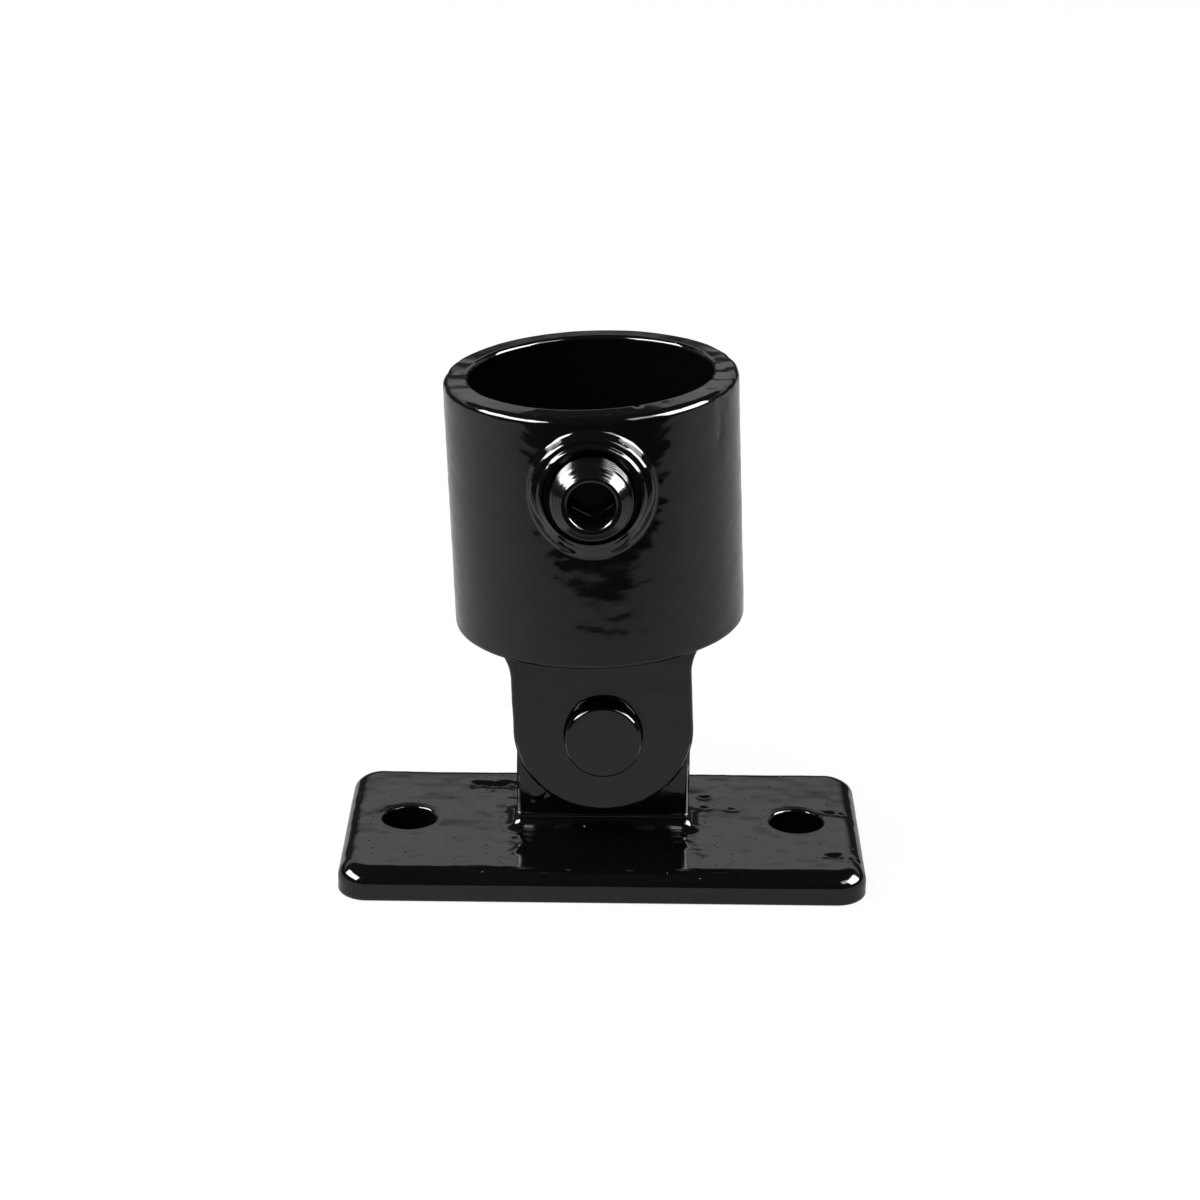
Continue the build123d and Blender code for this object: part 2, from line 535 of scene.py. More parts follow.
@dataclass
class Eye:
    """A flat bar end that is round about the pin's hole, such as an ear or the lug.

    It is worked out as closed rings that share one count of points: from the hole's front rim
    out over the front face, over the edge, across the back face and home through the hole. A
    face's rings pass by way of the waist, a line inside the outline that can be seen whole from
    the hole, so that no two lines out from the hole cross.
    """

    outline: Array
    waist: Array
    front: float
    back: float
    hole_radius: float
    front_round: float
    back_round: float
    front_rings: int = 34
    back_rings: int = 8
    round_steps: int = 6

    def outward(self) -> Array:
        """Each outline point's normal in XZ, square to the line between its neighbours.

        Returns:
            One unit vector for each point.
        """
        along = np.roll(self.outline, -1, axis=0) - np.roll(self.outline, 1, axis=0)
        normal = np.stack([along[:, 1], -along[:, 0]], axis=1)
        return normal / np.linalg.norm(normal, axis=1, keepdims=True)

    def ring(self, inset: float, depth: float) -> Array:
        """The outline moved inwards by the inset, at a depth along Y."""
        flat = self.outline - inset * self.outward()
        return np.stack([flat[:, 0], np.full(len(flat), depth), flat[:, 1]], axis=1)

    def hole_ring(self, depth: float) -> Array:
        """The hole's circle at a depth, with one point in the direction of each outline point."""
        angles = np.arctan2(self.waist[:, 1], self.waist[:, 0])
        return rings_about_y(np.array([self.hole_radius]), np.array([depth]), angles)[0]

    def face_rings(self, depth: float, edge: Array, rings: int) -> Array:
        """Rings over a flat face, from the hole's rim by way of the waist to just inside the edge.

        Args:
            depth: The face's place along Y.
            edge: The face's outermost ring.
            rings: How many rings there are.

        Returns:
            Rings × points × 3.
        """
        waist = np.stack([self.waist[:, 0], np.full(len(self.waist), depth), self.waist[:, 1]], axis=1)
        half = rings // 2
        beside_edge = 0.985
        outer = np.append(np.linspace(0, 1, rings - half + 1)[:-1], beside_edge)
        return np.concatenate([mix(self.hole_ring(depth), waist, np.linspace(0, 1, half + 1)[:-1]),
                               mix(waist, edge, outer)])

    def edge_rings(self, depth: float, radius: float, inwards: float) -> Array:
        """Rings over a rounded edge: a quarter circle from the face to the side.

        Args:
            depth: The face's place along Y.
            radius: The edge's round.
            inwards: 1 or −1, the way along Y from the face into the metal.

        Returns:
            Rings × points × 3.
        """
        turns = np.linspace(0, QUARTER, self.round_steps + 1)
        return np.stack([self.ring(radius * (1 - math.sin(turn)),
                                   depth + inwards * radius * (1 - math.cos(turn)))
                         for turn in turns])

    def shell(self) -> Array:
        """All rings in order, which join into a closed band.

        Returns:
            Rings × points × 3.
        """
        inwards = math.copysign(1, self.back - self.front)
        front_edge = self.edge_rings(self.front, self.front_round, inwards)
        front_face = self.face_rings(self.front, front_edge[0], self.front_rings)
        back_edge = self.edge_rings(self.back, self.back_round, -inwards)[::-1]
        back_face = self.face_rings(self.back, back_edge[-1], self.back_rings)[::-1]
        side = mix(front_edge[-1], back_edge[0], np.linspace(0, 1, 8)[1:-1])
        bore = mix(self.hole_ring(self.back), self.hole_ring(self.front), np.linspace(0, 1, 5)[1:-1])
        return np.concatenate([front_face, front_edge, side, back_edge, back_face, bore])


@dataclass
class FootFillet:
    """A bead with a hollow quarter-round face that runs round the foot of an upright.

    The arc's point lies r(1 − cos a) out from the foot line and r(1 − sin a) above the face,
    and the bead is closed by two legs inside the metal. Between the arc and its leg a skirt
    dips slowly under the face, so that the two surfaces meet without a step.
    """

    foot: Array
    radii: Array
    level: float
    upwards: float
    steps: int = 10
    buried: float = 0.6
    skirt: tuple[tuple[float, float], ...] = ((0.3, 0.012), (0.6, 0.06))

    def outward(self, closed: bool) -> Array:
        """Each foot point's normal in XY.

        Args:
            closed: Whether the foot line's end joins its start.

        Returns:
            One unit vector for each point.
        """
        if closed:
            along = np.roll(self.foot, -1, axis=0) - np.roll(self.foot, 1, axis=0)
        else:
            along = np.gradient(self.foot, axis=0)
        normal = np.stack([along[:, 1], -along[:, 0]], axis=1)
        return normal / np.linalg.norm(normal, axis=1, keepdims=True)

    def shell(self, closed: bool = True) -> Array:
        """Carries the bead's closed profile along the foot line.

        Args:
            closed: Whether the foot line's end joins its start.

        Returns:
            Foot points × profile points × 3.
        """
        turns = np.linspace(0, QUARTER, self.steps + 1)
        scale = (self.radii / self.radii.max())[:, None]
        radii, buried = self.radii[:, None], self.buried * scale
        reach, dip = scale * [step for step, _ in self.skirt], scale * [dip for _, dip in self.skirt]
        out = np.hstack([radii * (1 - np.cos(turns)), radii + reach, radii + reach[:, -1:], -buried, -buried])
        up = np.hstack([radii * (1 - np.sin(turns)), -dip, -buried, -buried, radii])
        flat = self.foot[:, None, :] + out[..., None] * self.outward(closed)[:, None, :]
        return np.concatenate([flat, (self.level + self.upwards * up)[..., None]], axis=2)


@dataclass
class SocketCasting:
    """The forked socket: tube socket, screw boss and two ears, in the socket's frame."""

    bore_radius: float
    pin_hole_radius: float = 8.02
    ear_radius: float = 18.85
    ear_end_rise: float = 0.85
    ear_faces: tuple[float, float] = (11.25, 4.25)
    ear_edge_round: float = 1.2
    ear_inner_round: float = 0.3
    flare_end: float = 26.24
    flare_height: float = 9.324
    root_round: float = 1.6
    buried_round: float = 1.6
    wall: float = 5.4
    underside: float = 22.4
    floor: float = 28.4
    rim: float = 75.8
    floor_round: float = 2.0
    rim_outer_round: float = 1.7
    rim_inner_round: float = 1.0
    rim_slope: float = math.radians(9)
    underside_round: float = 1.2
    boss_height: float = 59.8
    boss_radius: float = 12.5
    boss_face: float = 31.7
    boss_edge_round: float = 1.4
    boss_foot_round: float = 1.2
    boss_foot_reach: float = 13.75
    bead_face: float = 32.45
    bead_round: float = 1.1
    bead_foot_round: float = 0.3
    recess_radius: float = 9.6
    recess_floor: float = 30.25
    coat_round: float = 0.25
    pooled: float = 0.85
    screw_hole_radius: float = 8.28
    window_turn: float = math.radians(31.5)
    window_drop: float = 15.4
    window_rise: float = 13.82
    inner_window: float = 12.9
    window_cells: int = 56
    wall_rows: int = 26
    wall_columns: int = 80
    # Turn in degrees, inner radius, skew in degrees and height of each ripple across the rim
    ripples: tuple[tuple[float, float, float, float], ...] = (
        (62, 27, 8, -0.12), (75, 25.5, 4, -0.16), (88, 26, 7, -0.18), (100, 25.5, 6, -0.14),
        (113, 26.5, 4, -0.12), (-60, 27.5, -5, -0.1), (-76, 26, -6, -0.14), (-92, 27, -7, -0.14),
        (-108, 26, -4, -0.12))
    # Turn in degrees, top and bottom below the rim and height of each run of coat
    runs: tuple[tuple[float, float, float, float], ...] = (
        (58.9, 2.2, 9.5, -0.22), (56.0, 5.0, 12.0, -0.1), (63.0, 3.0, 8.0, -0.12))
    ripple_reach: float = 1.5
    run_reach: float = 0.9
    notch_turn: float = 22
    notch_reach: float = 0.6
    notch_height: float = -0.3
    waist_share: float = 0.74
    flare_share: float = 0.1
    upper_share: float = 0.9

    @property
    def radius(self) -> float:
        """The socket's outer radius."""
        return self.bore_radius + self.wall

    def columns(self) -> tuple[Array, slice]:
        """Columns of points round the socket, from its back through the front at 0.

        Returns:
            Their angles, and those of them that the boss's window takes up.
        """
        turns = stations((-math.pi, 0), (-self.window_turn, self.wall_columns),
                         (self.window_turn, self.window_cells), (math.pi, self.wall_columns))[:-1]
        return turns, slice(self.wall_columns, self.wall_columns + self.window_cells)

    def rim_profile(self) -> tuple[Array, Array]:
        """The rim from the outer wall to the bore, at the front: two rounds with a slope between them.

        The slope falls outwards, where the rim was dressed after casting, and each round's
        normal swings on from the slope's.

        Returns:
            Radii and heights, up from the outer wall and down to the bore's.
        """
        outer_turns = np.linspace(0, QUARTER - self.rim_slope, 12)
        inner_turns = np.linspace(QUARTER - self.rim_slope, math.pi, 14)
        rise, run = math.sin(self.rim_slope), math.cos(self.rim_slope)
        reach = self.bore_radius + self.rim_inner_round
        inner = circle_points(reach, self.rim - self.rim_inner_round, self.rim_inner_round, inner_turns)
        length = (self.radius - self.rim_outer_round * (1 - rise) - inner[0, 0]) / run
        start = inner[0] + length * np.array([run, -rise])
        centre = start - self.rim_outer_round * np.array([rise, run])
        outer = circle_points(*centre, self.rim_outer_round, outer_turns)
        slope = mix(outer[None, -1], inner[None, 0], np.array([0.02, 0.25, 0.5, 0.75, 0.98]))[:, 0]
        return tuple(np.concatenate([outer, slope, inner]).T)

    def rim_lift(self, radii: Array, heights: Array, turns: Array) -> Array:
        """How much the rim's rows rise round the socket, so that its slope fades to none at the back.

        The lift is tan(slope) × the distance out from the inner round × (1 − cos turn) ÷ 2.

        Args:
            radii: The rows' radii.
            heights: Their heights.
            turns: The columns' angles.

        Returns:
            Rows × columns of lifts.
        """
        first = self.bore_radius + self.rim_inner_round * (1 + math.sin(self.rim_slope))
        on_rim = heights >= self.rim_profile()[1][0]
        out = np.where(on_rim, np.clip(radii - first, 0, None), 0)
        return math.tan(self.rim_slope) * out[:, None] * (1 - np.cos(turns)) / 2

    def profile(self) -> tuple[Array, Array, slice, slice]:
        """The turned outline from the underside's centre over the rim to the bore floor's centre.

        Returns:
            Radii, heights, and the rows of the outer and of the inner window.
        """
        quarter = np.linspace(0, QUARTER, 9)
        near = 0.05
        outer, bore = self.radius, self.bore_radius
        low_round = self.underside_round
        radii = [np.append(np.linspace(0, outer - low_round - near, 9), outer - low_round),
                 outer - low_round + low_round * np.sin(quarter[1:])]
        heights = [np.full(10, self.underside), self.underside + low_round * (1 - np.cos(quarter[1:]))]
        rim_radii, rim_heights = self.rim_profile()
        wall_heights = stations((self.underside + low_round, 0), (self.underside + low_round + near, 1),
                                (self.boss_height - self.window_drop, self.wall_rows),
                                (self.boss_height + self.window_rise, self.window_cells),
                                (rim_heights[0], 1))[1:-1]
        first_row = sum(map(len, radii)) + self.wall_rows
        radii += [np.full(len(wall_heights), outer), rim_radii]
        heights += [wall_heights, rim_heights]
        bore_heights = stations((rim_heights[-1], 0), (self.boss_height + self.inner_window, 4),
                                (self.boss_height - self.inner_window, self.window_cells),
                                (self.floor + self.floor_round, 16))[1:]
        second_row = sum(map(len, radii)) + 3
        radii.append(np.full(len(bore_heights), bore))
        heights.append(bore_heights)
        radii.append(bore - self.floor_round * (1 - np.cos(quarter[1:])))
        heights.append(self.floor + self.floor_round * (1 - np.sin(quarter[1:])))
        radii.append(np.linspace(bore - self.floor_round - near, 0, 7))
        heights.append(np.full(7, self.floor))
        return (np.concatenate(radii), np.concatenate(heights),
                slice(first_row, first_row + self.window_cells),
                slice(second_row, second_row + self.window_cells))

    def wall_patch(self, radius: float, start: Array, end: Array, shares: Array) -> Array:
        """Rings between two on the front of an upright cylinder, mixed by turn and by height.

        Args:
            radius: The cylinder's radius.
            start: The first ring's points.
            end: The last ring's points.
            shares: Each ring's share of the way from the first to the last.

        Returns:
            Rings × points × 3.
        """
        turns = mix(np.arcsin(start[:, :1] / radius), np.arcsin(end[:, :1] / radius), shares)[..., 0]
        rises = mix(start[:, 2:], end[:, 2:], shares)[..., 0]
        return np.stack([radius * np.sin(turns), -radius * np.cos(turns), rises], axis=-1)

    def boss_side(self, angles: Array) -> Array:
        """Rings from the wall up a cove, along the boss's side and over its rounded edge.

        The cove is a ball rolled round between boss and wall, with its centre a ball's radius
        outside the wall, and the edge is a ring of its own radius. The side is the line that
        touches both, so it tilts more where the wall stands further out. The normal swings
        from the wall's to the side's down the cove, and back to straight ahead over the edge.

        Args:
            angles: The angles round the screw's axis.

        Returns:
            Rings × angles × 3 points.
        """
        edge, foot = self.boss_edge_round, self.boss_foot_round
        edge_reach, edge_out = self.boss_radius - edge, self.boss_face - edge
        foot_out = np.sqrt((self.radius + foot) ** 2 - (self.boss_foot_reach * np.cos(angles)) ** 2)
        across, out = self.boss_foot_reach - edge_reach, foot_out - edge_out
        tilt = np.arctan2(across, out) - np.arccos((edge + foot) / np.hypot(across, out))

        def normal(turn: Array) -> Array:
            """The unit vector at a turn from straight ahead to straight away from the axis."""
            return np.stack([np.sin(turn) * np.cos(angles), -np.cos(turn),
                             np.sin(turn) * np.sin(angles)], axis=-1)

        ball = rings_about_y(np.array([self.boss_foot_reach]), -foot_out[None, :], angles)[0]
        from_wall = ball * [1, 1, 0] / (self.radius + foot)
        from_side = normal(tilt)
        swing = np.arccos(np.clip(np.sum(from_wall * from_side, axis=1), -1, 1))[:, None]
        cove = [ball - foot * (np.sin((1 - share) * swing) * from_wall + np.sin(share * swing) * from_side)
                / np.sin(swing) for share in np.linspace(0, 1, 13)]
        ring = rings_about_y(np.array([edge_reach]), np.array([-edge_out]), angles)[0]
        over = [ring + edge * normal(tilt * share) for share in np.linspace(1, 0, 13)]
        side = mix(cove[-1], over[0], np.array([0.1, 0.5, 0.9]))
        return np.concatenate([cove, side, over]) + [0, 0, self.boss_height]

    def pool(self, rings: Array, angles: Array) -> Array:
        """Draws rings towards their chord at the bottom of the boss, where coat has run and pooled.

        A ring's place on the chord is its share of the way along the profile.

        Args:
            rings: The rings over the boss's side and on to its bead.
            angles: Their points' angles round the screw's axis.

        Returns:
            The rings, moved.
        """
        steps = np.linalg.norm(np.diff(rings, axis=0), axis=-1)
        run = np.concatenate([np.zeros((1, len(angles))), np.cumsum(steps, axis=0)])
        chord = rings[0] + (run / run[-1])[..., None] * (rings[-1] - rings[0])
        return rings + self.pooled * smooth_step(-np.sin(angles), -0.1, 0.6)[:, None] * (chord - rings)

    def boss_face_profile(self) -> tuple[Array, Array, int]:
        """The turned part of the boss: its bead, the recess and the start of the screw's hole.

        The bead is an arc whose crest stands at the recess's edge, and a small hollow arc
        leads into it from the boss's face: the hollow's centre lies both radii from the bead's.

        Returns:
            Radii and places in front of the socket's axis, from the boss's edge inwards, and how
            many of them lead up to the bead's crest.
        """
        bead, hollow, coat = self.bead_round, self.bead_foot_round, self.coat_round
        crest = self.recess_radius + coat
        level = self.bead_face - bead
        lean = math.acos((self.boss_face + hollow - level) / (bead + hollow))
        hollow_reach = crest + (bead + hollow) * math.sin(lean)
        rising, falling = np.linspace(0, lean, 6), np.linspace(lean, 0, 12)[1:]
        quarter = np.linspace(0, QUARTER, 6)
        between = np.array([0.03, 0.35, 0.65, 0.97])
        wall = stations((self.bead_face - coat, 0), (self.recess_floor + coat, 8))[1:-1]
        land = self.recess_radius - coat
        radii = [hollow_reach - hollow * np.sin(rising), crest + bead * np.sin(falling),
                 crest - coat * np.sin(quarter[1:]), np.full(len(wall), self.recess_radius),
                 land + coat * np.cos(quarter), land + between * (self.screw_hole_radius + coat - land),
                 self.screw_hole_radius + coat * (1 - np.sin(quarter))]
        fronts = [self.boss_face + hollow - hollow * np.cos(rising), level + bead * np.cos(falling),
                  self.bead_face - coat + coat * np.cos(quarter[1:]), wall,
                  self.recess_floor + coat - coat * np.sin(quarter), np.full(4, self.recess_floor),
                  self.recess_floor - coat + coat * np.cos(quarter)]
        return np.concatenate(radii), np.concatenate(fronts), len(rising) + len(falling)

    def boss_rings(self, outer_edge: Array, inner_edge: Array) -> Array:
        """Rings from the outer window over the boss, down its recess and through to the bore.

        Args:
            outer_edge: The window's edge on the outer wall.
            inner_edge: The window's edge on the bore's wall.

        Returns:
            Rings × points × 3.
        """
        height = self.boss_height
        angles = np.arctan2(outer_edge[:, 2] - height, outer_edge[:, 0])
        side = self.boss_side(angles)
        apron = self.wall_patch(self.radius, outer_edge, side[0], np.array([0, 0.25, 0.5, 0.72, 0.88, 0.97]))
        radii, fronts, crest = self.boss_face_profile()
        face = rings_about_y(radii, -fronts, angles, height)
        raised = self.pool(np.concatenate([side, face[:crest]]), angles)

        inner_angles = np.arctan2(inner_edge[:, 2] - height, inner_edge[:, 0])
        mouth = rings_about_y(np.array([self.screw_hole_radius]), np.zeros(1), inner_angles, height)[0]
        mouth[:, 1] = -np.sqrt(self.bore_radius**2 - mouth[:, 0] ** 2)
        hole = mix(face[-1], mouth, np.linspace(0, 1, 9)[1:])
        skirt = self.wall_patch(self.bore_radius, mouth, inner_edge, np.array([0.03, 0.3, 0.65, 1]))
        return np.concatenate([apron, raised, face[crest:], hole, skirt])

    def ear_outline(self) -> Array:
        """The ear's outline: round end, straight sides, an arc to each side into the underside.

        The round end's centre stands a little above the pin, and the outline turns back inside
        the socket's floor.

        Returns:
            Points across and up from the pin.
        """
        spread = self.flare_end - self.ear_radius
        arc_radius = (spread**2 + self.flare_height**2) / (2 * spread)
        arc_turn = math.asin(self.flare_height / arc_radius)
        start = self.underside - self.flare_height
        round_end = circle_points(0, self.ear_end_rise, self.ear_radius, np.linspace(-math.pi, 0, 97))
        side = np.linspace(self.ear_end_rise, start, 17)[1:]
        straight = np.stack([np.full(len(side), self.ear_radius), side], axis=1)
        flare = circle_points(self.ear_radius + arc_radius, start, arc_radius,
                              math.pi - np.linspace(0, arc_turn, 19)[1:])
        turn_back = self.buried_round
        level = self.underside + turn_back * math.sin(arc_turn)
        tip_centre = self.flare_end - turn_back * math.cos(arc_turn)
        tip = circle_points(tip_centre, level, turn_back, np.linspace(-arc_turn, QUARTER, 13)[1:])
        rising = np.concatenate([straight, flare, tip])
        across = np.linspace(tip_centre, -tip_centre, 31)[1:-1]
        top = np.stack([across, np.full(len(across), level + turn_back)], axis=1)
        return np.concatenate([round_end, rising, top, rising[::-1] * [-1, 1]])

    def ear_waist(self) -> Array:
        """The outline drawn in towards the pin, with its flares drawn in more than its height.

        Returns:
            Points across and up from the pin, one for each of the outline's.
        """
        across, level = self.ear_outline().T
        reach = np.abs(across)
        drawn = (self.waist_share * np.minimum(reach, self.ear_radius)
                 + self.flare_share * np.clip(reach - self.ear_radius, 0, None))
        return np.stack([np.sign(across) * drawn,
                         np.where(level > 0, self.upper_share, self.waist_share) * level], axis=1)

    def shell(self) -> Shell:
        """Gathers the turned body, the boss, the ears and the beads at the ears' roots.

        Returns:
            The gathered patches.
        """
        shell = Shell()
        turns, window_columns = self.columns()
        radii, heights, outer_rows, inner_rows = self.profile()
        body = np.stack([radii[:, None] * np.sin(turns), -radii[:, None] * np.cos(turns),
                         heights[:, None] + self.rim_lift(radii, heights, turns)], axis=-1)
        skip = np.zeros((len(radii) - 1, len(turns)), bool)
        skip[outer_rows, window_columns] = True
        skip[inner_rows, window_columns] = True
        shell.add(body, skip=skip)
        outer_edge = body[window_edge(outer_rows, window_columns)]
        inner_edge = body[window_edge(inner_rows, window_columns)]
        shell.add(self.boss_rings(outer_edge, self.matched(outer_edge, inner_edge)))
        for side in (-1, 1):
            outer_face, inner_face = (side * face for face in self.ear_faces)
            ear = Eye(self.ear_outline(), self.ear_waist(), outer_face, inner_face,
                      self.pin_hole_radius, self.ear_edge_round, self.ear_inner_round)
            shell.add(ear.shell(), wrap_rows=True)
            bead_reach = self.flare_end - 0.5
            across = bead_reach * np.sin(np.linspace(-QUARTER, QUARTER, 80))
            fade = np.sqrt(np.clip(1 - (across / across[-1]) ** 8, 0, 1))
            for face, way in ((outer_face, side), (inner_face, -side)):
                foot = np.stack([-way * across, np.full(len(across), face)], axis=1)
                bead = FootFillet(foot, self.root_round * fade, self.underside, -1)
                shell.add(bead.shell(closed=False).transpose(1, 0, 2), wrap_rows=True, wrap_columns=False)
        return shell

    @staticmethod
    def matched(outer_edge: Array, inner_edge: Array) -> Array:
        """Puts the inner edge's points in the outer edge's order, by their angles round the window.

        Args:
            outer_edge: The window's edge on the outer wall.
            inner_edge: The window's edge on the bore's wall.

        Returns:
            The inner edge's points.
        """
        order = np.argsort(np.arctan2(inner_edge[:, 2] - inner_edge[:, 2].mean(), inner_edge[:, 0]))
        wanted = np.argsort(np.arctan2(outer_edge[:, 2] - outer_edge[:, 2].mean(), outer_edge[:, 0]))
        matched = np.empty_like(inner_edge)
        matched[wanted] = inner_edge[order]
        return matched

    @staticmethod
    def around(turn: float, radius: float, height: float) -> tuple[float, float, float]:
        """The point at a turn in degrees from the front of the socket, towards its right."""
        angle = math.radians(turn)
        return radius * math.sin(angle), -radius * math.cos(angle), height

    def calm(self, points: Array) -> Array:
        """Keeps the relief off the pin's holes and the slot's faces.

        Args:
            points: The surface's points.

        Returns:
            A share from 0 to 1 for each point.
        """
        outside = smooth_step(np.abs(points[:, 1]), self.ear_faces[1], self.ear_faces[1] + 2)
        low = 1 - smooth_step(points[:, 2], self.underside - 3, self.underside)
        return (1 - low * (1 - outside)) * clear_of_pin(points, self.pin_hole_radius, 3)

    def build(self, place: Callable[[Array], Array], coat: PowderCoat) -> bpy.types.Object:
        """Builds and coats the casting, in place of its CAD node.

        Its flaws are ripples where the rim was fettled, a notch in the rim's lip and runs of coat.

        Args:
            place: Carries points into the part's frame.
            coat: The finish.

        Returns:
            The piece.
        """
        rim, outer, inner_wall = self.rim, self.radius, self.bore_radius
        flaws = [Flaw(self.around(turn, inner, rim), self.around(turn + skew, outer, rim - 1),
                      self.ripple_reach, height) for turn, inner, skew, height in self.ripples]
        flaws += [Flaw(self.around(turn, outer, rim - top), self.around(turn + 1, outer, rim - bottom),
                       self.run_reach, height) for turn, top, bottom, height in self.runs]
        flaws.append(Flaw(self.around(self.notch_turn, inner_wall, rim),
                          self.around(self.notch_turn, inner_wall + 1, rim), self.notch_reach,
                          self.notch_height))
        relief = CastRelief(CastNoise(11), self.calm, flaws=tuple(flaws))
        piece = build_piece("socket_casting", self.shell(), relief, place)
        return dress(piece, coat, "swivel_socket", "socket")


@dataclass
class BaseCasting:
    """The base flange: plate, bolt holes and upright lug, in the part's frame."""

    length: float
    width: float
    bolt_spacing: float
    bolt_hole_radius: float
    pivot_height: float
    thickness: float = 7.0
    corner_radius: float = 6.5
    top_round: float = 3.8
    foot_round: float = 0.8
    hole_round: float = 0.7
    hole_window: float = 7.2
    lip_height: float = 0.07
    lip_reach: float = 0.8
    lug_radius: float = 18.4
    lug_thickness: float = 8.0
    lug_draft: float = math.radians(1.2)
    lug_edge_round: float = 1.2
    lug_foot_round: float = 3.2
    buried_round: float = 2.0
    lug_buried: float = 2.5
    pin_hole_radius: float = 8.05
    waist_share: float = 0.74
    upright_share: float = 0.4
    corner_cells: int = 8
    length_cells: int = 162
    width_cells: int = 66
    waves: tuple[tuple[float, float], ...] = ((9.0, 0.15), (4.2, 0.1), (2.2, 0.055))
    # Start and end in XY, reach and height of each flaw on the plate's top
    top_flaws: tuple[tuple[float, ...], ...] = (
        (-27.6, 17.3, -18.6, 17.3, 1.3, -0.5),
        (-27.0, 14.6, -19.4, 14.2, 1.5, 0.16),
        (-21.4, 10.2, -20.2, 8.8, 1.5, 0.15),
        (-21.6, 4.6, -20.8, 1.6, 1.7, 0.14),
        (20.8, 4.6, 21.8, 1.2, 1.7, 0.14),
        (21.4, 11.5, 22.4, 11.2, 0.9, -0.34),
        (21.3, 6.2, 22.2, 5.9, 0.8, -0.3),
        (27.4, 5.6, 28.2, 5.2, 0.8, -0.2),
        (47.4, -16.2, 49.4, -16.6, 0.9, -0.34),
        (47.6, -17.9, 49.6, -18.2, 0.8, 0.1),
        (53.0, -17.0, 53.6, -17.5, 0.8, -0.3),
        (47.0, 4.6, 51.4, 3.4, 0.8, -0.22),
        (47.5, 2.8, 51.0, 1.8, 0.8, 0.08),
        (-17.6, -6.0, -18.6, -8.4, 0.9, 0.12),
        (-18.8, -9.8, -17.4, -12.2, 0.9, -0.1),
        (-17.4, -13.8, -18.8, -16.4, 1.0, 0.12),
        (19.0, -7.0, 17.8, -9.2, 0.9, -0.1),
        (17.8, -11.4, 19.2, -13.4, 0.9, 0.12),
        (19.6, -14.4, 21.2, -15.8, 1.0, -0.1),
    )
    # Start and end in XZ, reach and height of each flaw on the lug's front face
    lug_flaws: tuple[tuple[float, ...], ...] = (
        (-14.5, 14.1, -13.4, 13.9, 0.5, 0.12),
        (-12.1, 13.4, -11.8, 13.3, 0.45, 0.1),
        (-14.9, 12.4, -14.7, 12.3, 0.5, 0.1),
    )

    def lines(self, half: float, inset: float, cells: int) -> Array:
        """Grid lines across the plate: fine ones in the corner zones and even ones between.

        Args:
            half: Half the plate's length or width.
            inset: How far the face stands back from the plate's outline.
            cells: How many cells lie between the corner zones.

        Returns:
            The lines' places.
        """
        start = half - self.corner_radius
        return stations((-half + inset, 0), (-start, self.corner_cells), (start, cells),
                        (half - inset, self.corner_cells))

    def sheet(self, inset: float, height: float) -> Array:
        """A flat face of the plate with its corners rounded.

        In a corner zone a point at the shares (p, q) of the zone goes to the distance
        max(p, q) from the zone's inner corner, at 45° × the lesser share ÷ the greater.

        Args:
            inset: How far the face stands back from the plate's outline.
            height: The face's height.

        Returns:
            Rows × columns × 3 points.
        """
        x, y = np.meshgrid(self.lines(self.length / 2, inset, self.length_cells),
                           self.lines(self.width / 2, inset, self.width_cells))
        zone = self.corner_radius - inset
        past_x = np.clip(np.abs(x) - (self.length / 2 - self.corner_radius), 0, None) / zone
        past_y = np.clip(np.abs(y) - (self.width / 2 - self.corner_radius), 0, None) / zone
        corner = (past_x > 0) & (past_y > 0)
        reach = np.maximum(past_x, past_y)
        least = np.minimum(past_x, past_y) / np.where(reach > 0, reach, 1)
        angle = np.where(past_x >= past_y, math.pi / 4 * least, QUARTER - math.pi / 4 * least)
        inner_x = np.sign(x) * (self.length / 2 - self.corner_radius)
        inner_y = np.sign(y) * (self.width / 2 - self.corner_radius)
        x = np.where(corner, inner_x + np.sign(x) * zone * reach * np.cos(angle), x)
        y = np.where(corner, inner_y + np.sign(y) * zone * reach * np.sin(angle), y)
        return np.stack([x, y, np.full_like(x, height)], axis=-1)

    def rim_rings(self, top_edge: Array, bottom_edge: Array) -> Array:
        """Rings from the top face's edge over the round, down the side and under the foot's round.

        A ring point lies between the two edges' points in plan: the top edge is inset by the top
        round and the bottom edge by the foot round, so their line is the outline's normal.

        Args:
            top_edge: The points round the top face.
            bottom_edge: The points round the underside.

        Returns:
            Rings × points × 3.
        """
        span = self.top_round - self.foot_round
        outward = (bottom_edge - top_edge) * [1, 1, 0] / span
        over = np.linspace(0, QUARTER, 13)[1:]
        under = np.linspace(0, QUARTER, 6)
        out = np.concatenate([self.top_round * np.sin(over), np.full(4, self.top_round),
                              self.top_round - self.foot_round * (1 - np.cos(under))])
        side = np.linspace(self.thickness - self.top_round, self.foot_round, 6)[1:-1]
        level = np.concatenate([self.thickness - self.top_round * (1 - np.cos(over)), side,
                                self.foot_round * (1 - np.sin(under))])
        rings = top_edge + out[:, None, None] * outward
        rings[..., 2] = level[:, None]
        return np.concatenate([top_edge[None], rings])

